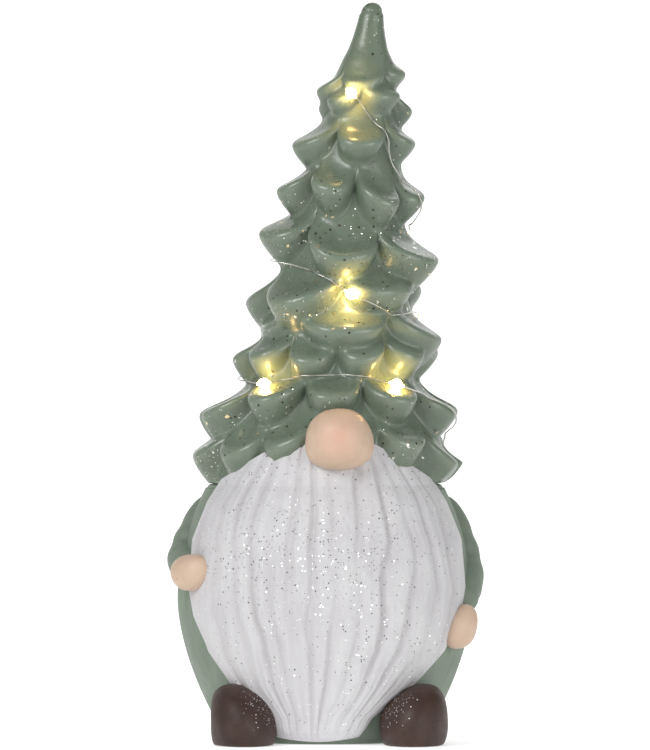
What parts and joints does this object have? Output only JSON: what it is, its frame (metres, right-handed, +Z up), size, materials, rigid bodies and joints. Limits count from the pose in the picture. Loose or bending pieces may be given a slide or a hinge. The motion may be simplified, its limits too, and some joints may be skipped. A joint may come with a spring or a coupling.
{
  "type": "tomte gnome figurine",
  "caption": "Standing ceramic tomte figurine with a tall fir-tree hat wound with a string of lights, a long white beard and a battery unit in its base.",
  "frame": {"origin": "centre of the figurine's footprint box, on the surface that it stands on", "axes": "+Z up, the figurine faces -Y, +X is on the viewer's right when looking at its front"},
  "size_m": [0.1281, 0.1153, 0.3],
  "materials": {
    "sage_matt": "matt sage-green paint over earthenware",
    "sage_glaze": "satin sage-green glaze with flecks of gold and silver foil",
    "white_glitter": "matt white paint dusted with silver glitter",
    "skin": "matt pale skin-coloured paint",
    "brown_paint": "satin dark brown paint",
    "black_plastic": "moulded, fine spark-eroded texture",
    "white_plastic": "moulded",
    "cell_sleeve": "printed shrink sleeve",
    "nickel": "nickel-plated spring steel",
    "board_green": "solder mask",
    "soft_plug": "matt silicone",
    "silver_wire": "enamelled silver-coloured wire",
    "clear_resin": "clear cast resin over a warm white diode, lit"
  },
  "bodies": {
    "figurine": {"body_shell": "sage_matt", "hat_shell": "sage_glaze", "beard": "white_glitter", "nose": "skin", "sleeve_left": "sage_matt", "sleeve_right": "sage_matt", "hand_left": "skin", "hand_right": "skin", "shoe_left": "brown_paint", "shoe_right": "brown_paint", "battery_housing": "black_plastic", "cell_front": "cell_sleeve", "cell_rear": "cell_sleeve", "contact_spring_front": "nickel", "contact_spring_rear": "nickel", "bridge_plate": "nickel", "positive_plate": "nickel", "negative_plate": "nickel", "switch_body": "nickel", "circuit_board": "board_green", "timer_chip": "black_plastic", "exit_plug": "soft_plug", "lead_wire": "silver_wire", "light_wire": "silver_wire", "light_drop_1": "clear_resin", "light_drop_2": "clear_resin", "light_drop_3": "clear_resin", "light_drop_4": "clear_resin", "light_drop_5": "clear_resin", "light_drop_6": "clear_resin", "light_drop_7": "clear_resin", "light_drop_8": "clear_resin"},
    "door": {"battery_door": "black_plastic"},
    "knob": {"switch_knob": "white_plastic"}
  },
  "joints": [
    {"name": "battery_door_hinge", "type": "hinge", "parent": "figurine", "child": "door", "pos_m": [0, -0.01345, 0.0023], "axis": [-1, 0, 0], "range_deg": [0, 100]},
    {"name": "switch_slide", "type": "slide", "parent": "figurine", "child": "knob", "axis": [1, 0, 0], "range_m": [0, 0.004]}
  ]
}
